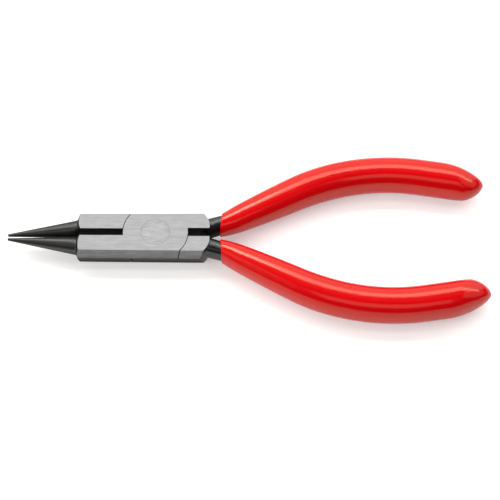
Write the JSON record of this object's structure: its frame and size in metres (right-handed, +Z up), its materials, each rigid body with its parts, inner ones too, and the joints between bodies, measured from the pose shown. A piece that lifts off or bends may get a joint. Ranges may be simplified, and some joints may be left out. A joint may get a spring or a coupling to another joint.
{
  "type": "round nose pliers",
  "caption": "Small round nose pliers: tapered round jaws on a riveted lap joint with flush ground faces, and bowed handles with glossy red dipped grips.",
  "frame": {"origin": "on the pivot axis, at the joint's ground underside", "axes": "+Z up along the pivot axis, +X towards the handles, the right handle on +Y"},
  "size_m": [0.1306, 0.0502, 0.0099],
  "materials": {
    "forged_steel": "ground bright on the joint's flats, black oxide on jaws and necks",
    "rivet_steel": "ground flush",
    "red_plastic": "glossy dip coating"
  },
  "bodies": {
    "left_side": {"left_half": "forged_steel", "left_grip": "red_plastic", "rivet": "rivet_steel"},
    "right_side": {"right_half": "forged_steel", "right_grip": "red_plastic"}
  },
  "joints": [
    {"name": "pivot", "type": "hinge", "parent": "left_side", "child": "right_side", "pos_m": [0, 0, 0], "axis": [0, 0, 1], "range_deg": [-0.5, 60]}
  ]
}
